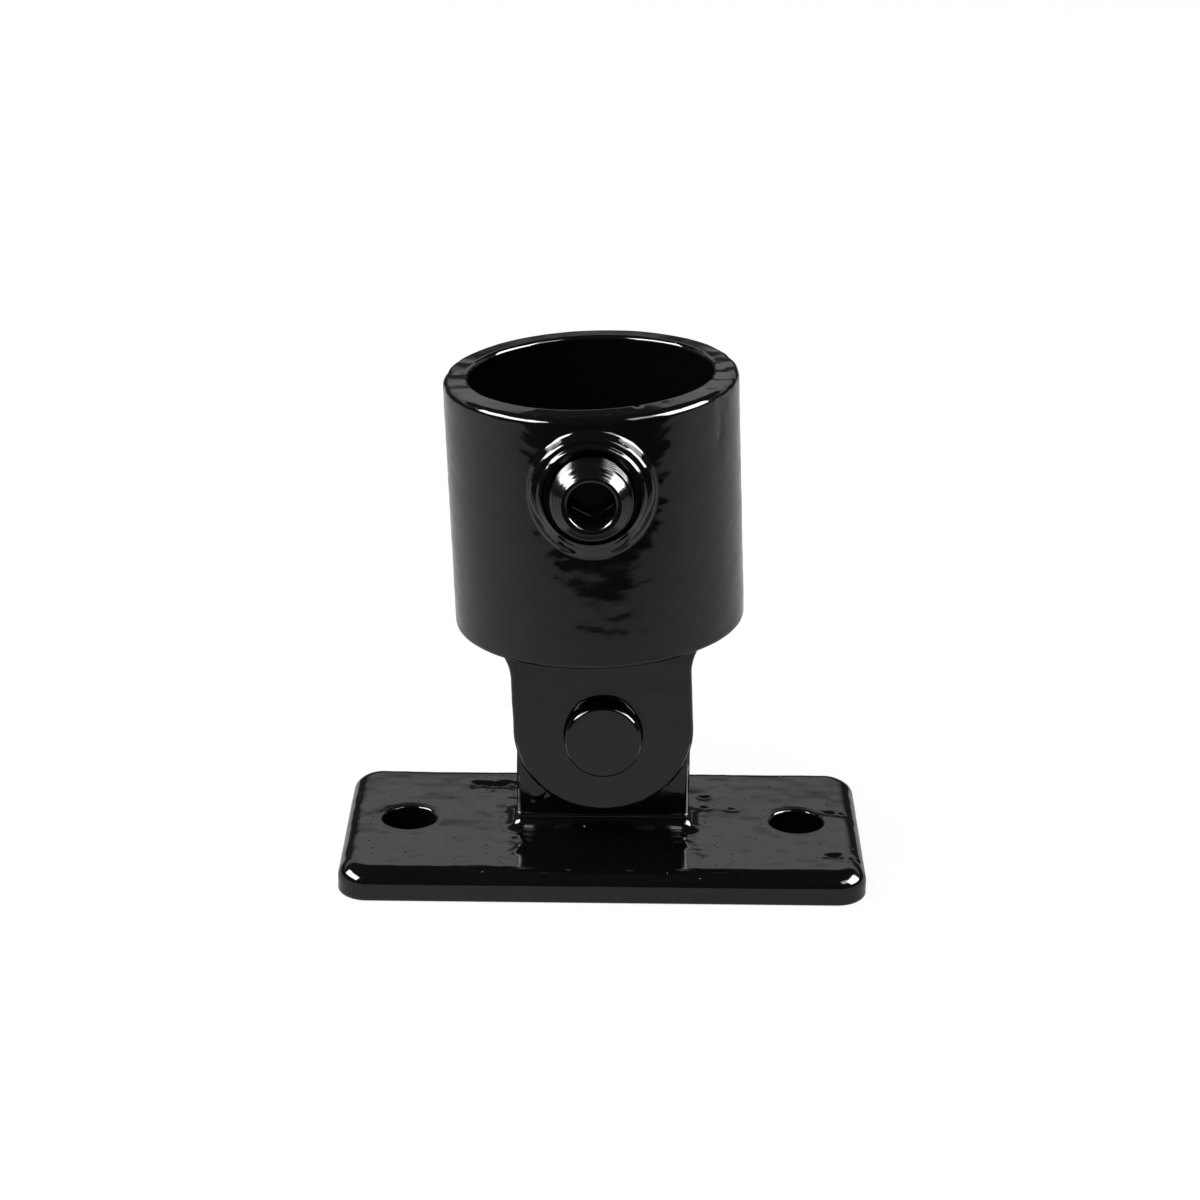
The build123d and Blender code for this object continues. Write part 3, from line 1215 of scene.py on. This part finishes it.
    def hole_rings(self, centre: float, top_edge: Array, bottom_edge: Array) -> Array:
        """Rings from the top window's edge down through a bolt hole to the bottom window's.

        The coat stands proud round the hole's mouth by a lip that falls away as exp(−(d ÷ reach)²).

        Args:
            centre: The hole's place along X.
            top_edge: The points round the top face's window.
            bottom_edge: The points round the underside's window.

        Returns:
            Rings × points × 3.
        """
        angles = np.arctan2(top_edge[:, 1], top_edge[:, 0] - centre)
        quarter = np.linspace(0, QUARTER, 6)
        mouth = self.bolt_hole_radius + self.hole_round - self.hole_round * np.sin(quarter)
        drop = self.hole_round * (1 - np.cos(quarter))
        radii = np.concatenate([mouth, np.full(7, self.bolt_hole_radius), mouth[::-1]])
        wall = np.linspace(self.thickness - self.hole_round, self.hole_round, 9)[1:-1]
        levels = np.concatenate([self.thickness - drop, wall, drop[::-1]])
        tube = np.stack([centre + radii[:, None] * np.cos(angles), radii[:, None] * np.sin(angles),
                         np.broadcast_to(levels[:, None], (len(radii), len(angles)))], axis=-1)
        top = mix(top_edge, tube[0], np.array([0, 0.3, 0.45, 0.6, 0.72, 0.82, 0.9, 0.97]))
        away = np.hypot(top[..., 0] - centre, top[..., 1]) - self.bolt_hole_radius - self.hole_round
        top[1:, :, 2] += self.lip_height * np.exp(-((away[1:] / self.lip_reach) ** 2))
        tube[:4, :, 2] += self.lip_height * np.linspace(1, 0, 4)[:, None]
        bottom = mix(tube[-1], bottom_edge, np.array([0.05, 0.5, 1]))
        return np.concatenate([top, tube, bottom])

    def lug_outline(self) -> Array:
        """The lug's outline about the pivot: a half circle over straight sides.

        Returns:
            Points across and up from the pivot.
        """
        buried = self.pivot_height - self.thickness + self.lug_buried
        crown = circle_points(0, 0, self.lug_radius, np.linspace(0, math.pi, 97))
        reach, turn_in = self.lug_radius - self.buried_round, buried - self.buried_round
        drop = np.linspace(0, -turn_in, 45)[1:-1]
        left = np.stack([np.full(len(drop), -self.lug_radius), drop], axis=1)
        corner = circle_points(-reach, -turn_in, self.buried_round, np.linspace(math.pi, 1.5 * math.pi, 9))
        foot = np.stack([np.linspace(-reach, reach, 41)[1:-1], np.full(39, -buried)], axis=1)
        falling = np.concatenate([left, corner])
        return np.concatenate([crown, falling, foot, falling[::-1] * [-1, 1]])

    def lug_foot(self) -> Array:
        """The lug's footprint: a rectangle with rounded corners, walked anticlockwise from above.

        Returns:
            Points in XY.
        """
        half_x, half_y, corner = self.lug_radius, self.lug_thickness / 2, self.lug_edge_round
        turns = np.linspace(0, QUARTER, 9)
        points = []
        for sign_x, sign_y, start in ((1, 1, 0), (-1, 1, 1), (-1, -1, 2), (1, -1, 3)):
            angle = turns + start * QUARTER
            centre = [sign_x * (half_x - corner), sign_y * (half_y - corner)]
            points.append(centre + corner * np.stack([np.cos(angle), np.sin(angle)], axis=1))
        run = np.linspace(0, 1, 50)[1:-1, None]
        short = np.linspace(0, 1, 8)[1:-1, None]
        rows = []
        for index, arc in enumerate(points):
            following = points[(index + 1) % 4][0]
            rows += [arc, arc[-1] + (short if index % 2 else run) * (following - arc[-1])]
        return np.concatenate(rows)

    def shell(self) -> Shell:
        """Gathers the plate with its holes, the lug and the bead at its foot.

        Returns:
            The gathered patches.
        """
        shell = Shell()
        top = self.sheet(self.top_round, self.thickness)
        bottom = self.sheet(self.foot_round, 0.0)
        rows, columns = top.shape[0] - 1, top.shape[1] - 1
        skip = np.zeros((rows, columns), bool)
        y_lines, x_lines = top[:, columns // 2, 1], top[rows // 2, :, 0]
        centre = self.bolt_spacing / 2
        start = int(np.argmin(np.abs(y_lines + self.hole_window)))
        row_slice = slice(start, rows - start)
        windows = []
        for side in (-1, 1):
            first = int(np.argmin(np.abs(x_lines - side * centre + self.hole_window)))
            last = int(np.argmin(np.abs(x_lines - side * centre - self.hole_window)))
            windows.append((side * centre, slice(first, last)))
            skip[row_slice, first:last] = True
        shell.add(top, wrap_columns=False, skip=skip)
        shell.add(bottom, wrap_columns=False, skip=skip)
        whole = window_edge(slice(0, rows), slice(0, columns))
        shell.add(self.rim_rings(top[whole], bottom[whole]))
        for hole_centre, column_slice in windows:
            edge = window_edge(row_slice, column_slice)
            shell.add(self.hole_rings(hole_centre, top[edge], bottom[edge]))
        half = self.lug_thickness / 2
        outline = self.lug_outline()
        lug = Eye(outline, self.waist_share * outline, -half, half, self.pin_hole_radius,
                  self.lug_edge_round, self.lug_edge_round, front_rings=34, back_rings=34)
        rings = lug.shell()
        rings[..., 2] += self.pivot_height
        rise = np.clip(rings[..., 2] - self.thickness, 0, None)
        rings[..., 1] *= 1 - rise * math.tan(self.lug_draft) / half
        shell.add(rings, wrap_rows=True)
        foot = self.lug_foot()
        bead = FootFillet(foot, np.full(len(foot), self.lug_foot_round), self.thickness, 1)
        shell.add(bead.shell().transpose(1, 0, 2), wrap_rows=True)
        return shell

    def calm(self, points: Array) -> Array:
        """Keeps the relief off the resting face, the pin's hole and the lug's faces under the ears.

        It is weaker on upright faces than on the plate's top, where coat lies thickest.

        Args:
            points: The surface's points.

        Returns:
            A share from 0 to 1 for each point.
        """
        weak, height = self.upright_share, points[:, 2]
        above_foot = weak * smooth_step(height, 0.2, 2.0) + (1 - weak) * smooth_step(
            height, self.thickness - 3, self.thickness - 0.5)
        from_pin = np.hypot(points[:, 0], height - self.pivot_height)
        below_ears = smooth_step(from_pin, self.lug_radius - 1, self.lug_radius + 2)
        return above_foot * np.where(height > self.thickness + 3, weak * below_ears, 1)

    def build(self, coat: PowderCoat) -> bpy.types.Object:
        """Builds and coats the casting, in place of its CAD node.

        Args:
            coat: The finish.

        Returns:
            The piece.
        """
        top, front = self.thickness, -self.lug_thickness / 2
        flaws = [Flaw((x, y, top), (end_x, end_y, top), reach, height)
                 for x, y, end_x, end_y, reach, height in self.top_flaws]
        flaws += [Flaw((x, front, z), (end_x, front, end_z), reach, height)
                  for x, z, end_x, end_z, reach, height in self.lug_flaws]
        relief = CastRelief(CastNoise(23), self.calm, waves=self.waves, flaws=tuple(flaws))
        piece = build_piece("base_casting", self.shell(), relief, stay)
        return dress(piece, coat, "base", "base_flange")


@dataclass
class PivotPin:
    """The pin's plain bar with eased ends, turned about Y."""

    half_length: float
    radius: float = 8.0
    edge_round: float = 0.7
    bare_from: float = 11.0
    bare_to: float = 12.5

    def build(self, place: Callable[[Array], Array], coat: PowderCoat) -> bpy.types.Object:
        """Builds and coats the pin, in place of its CAD node.

        The profile runs from the front end's centre over its edge along the bar to the back
        end's centre.

        Args:
            place: Carries points into the part's frame.
            coat: The finish.

        Returns:
            The piece.
        """
        quarter = np.linspace(0, QUARTER, 9)
        near = 0.06
        flat_radius = self.radius - self.edge_round
        flat = np.append(np.linspace(0, flat_radius - near, 12), flat_radius)
        radii = np.concatenate([flat, flat_radius + self.edge_round * np.sin(quarter[1:])])
        depths = np.concatenate([np.full(len(flat), self.half_length),
                                 self.half_length - self.edge_round * (1 - np.cos(quarter[1:]))])
        bar = np.linspace(-1, 1, 48)[1:-1] * depths[-1]
        radii = np.concatenate([radii, np.full(len(bar), self.radius), radii[::-1]])
        depths = np.concatenate([-depths, bar, depths[::-1]])
        shell = Shell()
        shell.add(rings_about_y(radii, depths, np.linspace(0, TURN, 145)[:-1]))
        relief = CastRelief(CastNoise(37), self.calm, waves=((9.0, 0.02), (2.6, 0.006)))
        piece = build_piece("pivot_pin_coated", shell, relief, place)
        return dress(piece, coat, "swivel_socket", "pivot_pin")

    def calm(self, points: Array) -> Array:
        """Keeps the relief to the ends that stand out of the ears."""
        return smooth_step(np.abs(points[:, 1]), self.bare_from, self.bare_to)


@dataclass
class GrubScrew:
    """The clamping screw: threaded shank, coned end and a hexagon socket behind a coned mouth."""

    height: float
    tip: float
    face: float
    radius: float = 8.2
    tip_chamfer: float = 1.2
    face_radius: float = 5.9
    cone_depth: float = 2.2
    mouth_radius: float = 5.5
    mouth_round: float = 0.9
    mouth_slope: float = math.radians(62)
    hex_apothem: float = 4.0
    hex_depth: float = 7.0
    pitch: float = 1.337
    thread_depth: float = 0.75
    thread_blend: float = 0.15
    thread_crest: float = 0.8
    thread_fade: float = 0.8
    turned_pitch: float = 0.55
    turned_depth: float = 0.03
    coat_round: float = 0.25
    points_round: int = 180

    def thread(self, angles: Array, fronts: Array) -> Array:
        """Radii of the threaded shank, cut off by the cone at its end.

        The groove's depth follows a raised cosine of the phase, (front ÷ pitch − turn), which is
        flattened on the crest, and it fades out at the tip. The cone's radius falls from the
        shank's to the face's over the cone's depth, less the tool's marks, which follow a cosine.

        Args:
            angles: The columns' angles round the axis.
            fronts: The rows' places in front of the socket's axis.

        Returns:
            Rows × columns of radii.
        """
        phase = fronts[:, None] / self.pitch - angles / TURN
        wave = (0.5 - 0.5 * np.cos(TURN * phase)) ** self.thread_crest
        start = self.tip + self.tip_chamfer
        fade = smooth_step(fronts, start, start + self.thread_fade)
        cone = self.radius - (fronts - self.face + self.cone_depth) * (
            self.radius - self.face_radius) / self.cone_depth
        marks = self.turned_depth * (1 - np.cos(TURN * fronts / self.turned_pitch))
        return soft_least(self.radius - self.thread_depth * wave * fade[:, None],
                          (np.minimum(cone, self.radius + 1) - marks)[:, None], self.thread_blend)

    def hexagon(self, angles: Array) -> Array:
        """Radii of a hexagon with a corner straight down: apothem ÷ cos(angle from the flat's middle)."""
        sixth = TURN / 6
        return self.hex_apothem / np.cos((angles + sixth / 2) % sixth - sixth / 2)

    def mouth(self, depths: Array) -> Array:
        """Radii of the mouth at depths behind the face: an arc that rolls inwards, then a cone.

        Args:
            depths: The rows' depths behind the face.

        Returns:
            One radius for each depth.
        """
        arc_depth = self.mouth_round * (1 - math.cos(self.mouth_slope))
        arc = self.mouth_radius - np.sqrt(
            np.clip(self.mouth_round**2 - (self.mouth_round - np.minimum(depths, arc_depth)) ** 2, 0, None))
        return arc - np.clip(depths - arc_depth, 0, None) / math.tan(self.mouth_slope)

    def build(self, place: Callable[[Array], Array], coat: PowderCoat) -> bpy.types.Object:
        """Builds and coats the screw, in place of its CAD node.

        Args:
            place: Carries points into the part's frame.
            coat: The finish.

        Returns:
            The piece.
        """
        angles = np.linspace(0, TURN, self.points_round + 1)[:-1]
        start, cone_start = self.tip + self.tip_chamfer, self.face - self.cone_depth
        slope = math.atan2(self.cone_depth, self.radius - self.face_radius)
        rows: list[tuple[Array, Array]] = []

        def turned(radii: Array, fronts: Array) -> None:
            """Adds rows that are round."""
            rows.append((np.asarray(radii)[:, None] + 0 * angles, np.asarray(fronts)))

        tip_radius = self.radius - self.tip_chamfer
        turned(np.linspace(0, tip_radius, 6), np.full(6, self.tip))
        turned(np.linspace(tip_radius, self.radius, 5)[1:], np.linspace(self.tip, start, 5)[1:])
        brow = self.coat_round * math.tan(slope / 2)
        fronts = stations((start, 0), (cone_start - 5, 36), (cone_start, 64), (cone_start + 1, 16),
                          (self.face - brow * math.sin(slope), 9))[1:]
        rows.append((self.thread(angles, fronts), fronts))
        turns = np.linspace(slope, 0, 7)[1:]
        turned(self.face_radius - brow + self.coat_round * np.sin(turns),
               self.face - self.coat_round * (1 - np.cos(turns)))
        rolled = np.linspace(0, self.mouth_slope, 10)
        cone_from, cone_to, near = self.mouth_round * 0.56, 2.0, 0.05
        depths = np.concatenate([self.mouth_round * (1 - np.cos(rolled)),
                                 stations((cone_from, 0), (cone_to, 14), (self.hex_depth - near, 12))])
        rows.append((np.maximum(self.mouth(depths)[:, None], self.hexagon(angles)), self.face - depths))
        shrink = np.array([1.0, 0.97, 0.7, 0.4, 0.0])
        rows.append((shrink[:, None] * self.hexagon(angles), np.full(5, self.face - self.hex_depth)))
        radii = np.concatenate([radius for radius, _ in rows])
        fronts = np.concatenate([front for _, front in rows])
        shell = Shell()
        shell.add(rings_about_y(radii, -fronts, angles, self.height))
        relief = CastRelief(CastNoise(53), lambda points: np.ones(len(points)), waves=((1.6, 0.006),))
        piece = build_piece("grub_screw_coated", shell, relief, place)
        return dress(piece, coat, "clamp_screw", "grub_screw")


def dress(piece: bpy.types.Object, coat: PowderCoat, body: str, node: str) -> bpy.types.Object:
    """Coats a piece and sets it on its body in place of its CAD node.

    Args:
        piece: The built piece.
        coat: Its finish.
        body: The CAD body it rides on.
        node: The CAD node it stands for.

    Returns:
        The piece.
    """
    piece.data.materials.append(coat.material())
    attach(piece, body)
    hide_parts(node)
    return piece


# ---------------------------------------------------------------- studio


@dataclass(frozen=True)
class Softbox:
    """A lamp panel that faces the part from a direction.

    Azimuth is 0 in front of the part and grows to the right; angles are in degrees.
    """

    name: str
    azimuth: float
    elevation: float
    width: float
    height: float
    brightness: float
    distance: float = 1.1
    lights_surfaces: bool = False
    shows_in_gloss: bool = True

    def build(self, target: Vector) -> None:
        """Hangs the lamp, sized by the angles that it fills as seen from the part.

        Args:
            target: The point that the lamp faces.
        """
        azimuth, elevation = math.radians(self.azimuth), math.radians(self.elevation)
        way = Vector((math.sin(azimuth) * math.cos(elevation), -math.cos(azimuth) * math.cos(elevation),
                      math.sin(elevation)))
        data = bpy.data.lights.new(self.name, "AREA")
        data.shape = "RECTANGLE"
        data.size = 2 * self.distance * math.tan(math.radians(self.width / 2))
        data.size_y = 2 * self.distance * math.tan(math.radians(self.height / 2))
        watts_per_radiance = 4
        data.energy = watts_per_radiance * self.brightness * data.size * data.size_y
        lamp = add_object(self.name, data)
        lamp.location = target + way * self.distance
        lamp.rotation_mode = "QUATERNION"
        lamp.rotation_quaternion = way.to_track_quat("Z", "Y")
        lamp.visible_camera = False
        lamp.visible_diffuse = self.lights_surfaces
        lamp.visible_glossy = self.shows_in_gloss


@dataclass(frozen=True)
class PaleSheet:
    """A matt sheet of the sweep, which is lifted to white where the camera sees it.

    The lift leaves a share of the lit surface, so that the part's shadow stays. In gloss the
    lift runs from one tone to another between two places along an axis: painted light, a glow
    that is brighter towards one end. Under the part, within half a length and half a width, the
    sheet is painted black as shade, and it gets no lift in gloss there.
    """

    name: str
    colour: float
    camera_lift: float = 0.8
    gloss_lift: float = 0.2
    white: float = 1.15
    gloss_tones: tuple[float, float] = (1.15, 1.15)
    tone_axis: str = "Z"
    tone_places: tuple[float, float] = (0.0, 1.0)
    shade_footprint: tuple[float, float] = (0.0, 0.0)

    def material(self) -> bpy.types.Material:
        """Mixes the lit sheet with plain white by the kind of ray that sees it.

        Returns:
            The material, on Object coordinates.
        """
        material = bpy.data.materials.new(self.name)
        material.use_nodes = True
        nodes = Nodes(material.node_tree)
        path = nodes.add("LightPath").outputs
        place = nodes.add("SeparateXYZ", Vector=nodes.add("TexCoord").outputs["Object"])
        # Painted shade: this is 1 outside the part's foot. Under the foot the sheet's colour is black and its
        # lift in gloss is left out.
        outside_painted_shade = nodes.math("MAXIMUM", *[
            nodes.math("GREATER_THAN", nodes.math("ABSOLUTE", place.outputs[axis]), half)
            for axis, half in zip("XY", self.shade_footprint)])
        mirrored = nodes.math("MULTIPLY", outside_painted_shade,
                              nodes.math("MAXIMUM", path["Is Glossy Ray"], path["Is Transmission Ray"]))
        lift = nodes.math("MAXIMUM", nodes.math("MULTIPLY", path["Is Camera Ray"], self.camera_lift),
                          nodes.math("MULTIPLY", mirrored, self.gloss_lift))
        # Painted light: the glow that gloss sees grades from one tone to the other along the axis.
        tone = nodes.add("MapRange", Value=place.outputs[self.tone_axis],
                         From_Min=self.tone_places[0], From_Max=self.tone_places[1],
                         To_Min=self.gloss_tones[0], To_Max=self.gloss_tones[1]).outputs["Result"]
        strength = nodes.math("MAXIMUM", tone, nodes.math("MULTIPLY", path["Is Camera Ray"], self.white))
        grey = nodes.math("MULTIPLY", outside_painted_shade, self.colour)
        shade = nodes.add("CombineColor", Red=grey, Green=grey, Blue=grey)
        matt = nodes.add("BsdfDiffuse", Color=shade.outputs["Color"])
        glow = nodes.add("Emission", Color=(1, 1, 1, 1), Strength=strength)
        blend = nodes.add("MixShader", Fac=lift)
        nodes.feed(blend.inputs[1], matt.outputs["BSDF"])
        nodes.feed(blend.inputs[2], glow.outputs["Emission"])
        nodes.add("OutputMaterial", Surface=blend.outputs["Shader"])
        return material


@dataclass(frozen=True)
class Studio:
    """Floor, curved backdrop, lamps, room and camera.

    Lengths are in metres, except the lens and its sensor in millimetres. Angles are in degrees.
    """

    floor_drop: float = 0.00002
    sheet_front: float = -0.2
    shade_footprint_inset: float = 0.003
    reach: float = 5.0
    wall_radius: float = 1.25
    wall_ends: tuple[float, float] = (-300, -62)
    wall_tops: tuple[float, float] = (16, 36)
    wall_spread: float = 70
    room_glow: float = 0.046
    camera_place: tuple[float, float, float] = (0.00227, -0.58556, 0.288)
    camera_pitch: float = 21.49
    camera_yaw: float = -0.32
    camera_roll: float = 0.49
    lens: float = 90.5
    sensor: float = 36
    nearest: float = 0.01
    softboxes: tuple[Softbox, ...] = field(default=(
        Softbox("softbox_left", -72, 33, 52, 22, 22.0),
        Softbox("softbox_right", 81, 30, 42, 30, 22.0),
        Softbox("softbox_right_front", 46, 40, 26, 20, 6.0),
        Softbox("overhead_fill", -60, 62, 70, 50, 2.4, 1.5, True, False),
    ))

    def sheet(self, name: str, grid: Array, finish: PaleSheet) -> None:
        """Makes a stage sheet from a grid of points in metres.

        Args:
            name: The sheet's name.
            grid: Its points, as rows × columns × 3.
            finish: Its finish.
        """
        shell = Shell()
        shell.add(grid, wrap_columns=False)
        mesh = bpy.data.meshes.new(name)
        mesh.from_pydata(shell.points[0], [], shell.quads[0].tolist())
        mesh.polygons.foreach_set("use_smooth", np.ones(len(mesh.polygons), bool))
        mesh.materials.append(finish.material())
        add_object(name, mesh)

    def flat(self, front: float, back: float) -> Array:
        """A level rectangle from front to back, as wide as the floor reaches."""
        x, y = np.meshgrid([-self.reach, self.reach], [front, back])
        return np.stack([x, y, np.full_like(x, -self.floor_drop)], axis=-1)

    def wall(self) -> Array:
        """The curved backdrop: a stretch of upright cylinder whose top falls away to both sides.

        Its top stands at the higher of two angles behind the part, and falls to the lower as
        exp(−((azimuth + 180°) ÷ spread)⁴).

        Returns:
            Rows × columns × 3 points.
        """
        degrees = np.linspace(*self.wall_ends, 80)[None, :]
        azimuth = np.radians(degrees)
        behind = np.exp(-(((degrees + 180) / self.wall_spread) ** 4))
        low, high = self.wall_tops
        top = self.wall_radius * np.tan(np.radians(low + (high - low) * behind))
        share = np.linspace(0, 1, 12)[:, None]
        across, away = self.wall_radius * np.sin(azimuth), -self.wall_radius * np.cos(azimuth)
        return np.stack([across + 0 * share, away + 0 * share, share * top - self.floor_drop], axis=-1)

    def room(self) -> None:
        """The room past the sweep: dark, and white where only the camera looks."""
        world = bpy.data.worlds.new("room")
        bpy.context.scene.world = world
        world.use_nodes = True
        nodes = Nodes(world.node_tree)
        path = nodes.add("LightPath").outputs
        dark = nodes.add("Background", Color=(1, 1, 1, 1), Strength=self.room_glow)
        white = nodes.add("Background", Color=(1, 1, 1, 1), Strength=1.0)
        blend = nodes.add("MixShader", Fac=path["Is Camera Ray"])
        nodes.feed(blend.inputs[1], dark.outputs["Background"])
        nodes.feed(blend.inputs[2], white.outputs["Background"])
        nodes.add("OutputWorld", Surface=blend.outputs["Shader"])

    def camera(self) -> None:
        """Sets the camera by its place and by how far it pitches down, yaws and rolls."""
        pitch, yaw, roll = (math.radians(angle)
                            for angle in (self.camera_pitch, self.camera_yaw, self.camera_roll))
        ahead = Vector((math.sin(yaw) * math.cos(pitch), math.cos(yaw) * math.cos(pitch), -math.sin(pitch)))
        level = Vector((math.cos(yaw), -math.sin(yaw), 0))
        upright = level.cross(ahead)
        right = level * math.cos(roll) + upright * math.sin(roll)
        data = bpy.data.cameras.new("camera")
        data.lens = self.lens
        data.sensor_width = self.sensor
        data.clip_start = self.nearest
        camera = add_object("camera", data)
        turn = Matrix((right, right.cross(-ahead) * -1, -ahead)).transposed()
        camera.matrix_world = Matrix.Translation(self.camera_place) @ turn.to_4x4()
        bpy.context.scene.camera = camera

    def build(self, target: Vector, shade_footprint: tuple[float, float]) -> None:
        """Sets up the whole studio round the part.

        Args:
            target: The part's centre, where the lamps point.
            shade_footprint: Half the length and half the width of the part's foot, whose corners are round.
        """
        # Painted shade: under the part's foot, less the inset, the floor is black and has no glow in gloss,
        # so the bolt holes look dark inside.
        painted_shade_footprint = tuple(half - self.shade_footprint_inset for half in shade_footprint)
        # Painted light: in gloss the floor glows at 0.63 near the part and fades to 0.35 towards its front
        # edge.
        self.sheet("sweep_floor", self.flat(self.sheet_front, self.reach),
                   PaleSheet("pale_sheet", 0.62, gloss_lift=0.6, gloss_tones=(0.35, 0.63), tone_axis="Y",
                             tone_places=(-0.2, -0.08), shade_footprint=painted_shade_footprint))
        self.sheet("front_floor", self.flat(-self.reach, self.sheet_front),
                   PaleSheet("front_sheet", 0.05, camera_lift=1.0, gloss_lift=0.0))
        # Painted light: in gloss the backdrop glows at 0.05 low down and brightens to 0.67 higher up.
        self.sheet("sweep_wall", self.wall(),
                   PaleSheet("pale_wall", 0.8, camera_lift=1.0, gloss_lift=1.0, gloss_tones=(0.05, 0.67),
                             tone_places=(0.41, 0.62)))
        for softbox in self.softboxes:
            softbox.build(target)
        self.room()
        self.camera()
        bpy.context.scene.view_settings.view_transform = "Standard"


# ---------------------------------------------------------------- the part


def main() -> None:
    """Builds the part's pieces in order, then the studio."""
    logging.basicConfig(level=logging.INFO, format="%(name)s: %(message)s")
    mounts = frame["record"]["mounts"]
    leaned = SocketFrame.from_record(frame["joints"], mounts)
    bore = next(mount for mount in mounts if mount["kind"] == "bore")
    bolts = next(mount for mount in mounts if mount["kind"] == "bolt_pattern")["dims"]
    low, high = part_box("base_flange")
    pin_low, pin_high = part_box("pivot_pin")
    screw_low, screw_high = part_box("grub_screw")
    screw_rise = (screw_low.z + screw_high.z) / 2 / METRES - leaned.pivot[2]
    casting_coat = PowderCoat("gloss_black_coat")
    pin_coat = PowderCoat("gloss_black_pin", peel_depth=0.003)
    screw_coat = PowderCoat("gloss_black_screw", roughness=0.13, peel_depth=0.002, nib_height=0.0)

    pieces = [
        BaseCasting((high.x - low.x) / METRES, (high.y - low.y) / METRES, bolts["spacing_x_mm"],
                    bolts["hole_r_mm"], leaned.pivot[2]).build(casting_coat),
        SocketCasting(bore["dims"]["r_mm"]).build(leaned.place, casting_coat),
        PivotPin((pin_high.y - pin_low.y) / 2 / METRES).build(leaned.place, pin_coat),
        GrubScrew(screw_rise / leaned.axis[2], -screw_high.y / METRES,
                  -screw_low.y / METRES).build(leaned.place, screw_coat),
    ]
    for piece in pieces:
        log.info("%s: %d faces", piece.name, len(piece.data.polygons))

    Studio().build((cad_box[0] + cad_box[1]) / 2, (high.x, high.y))


if __name__ == "__main__":
    main()
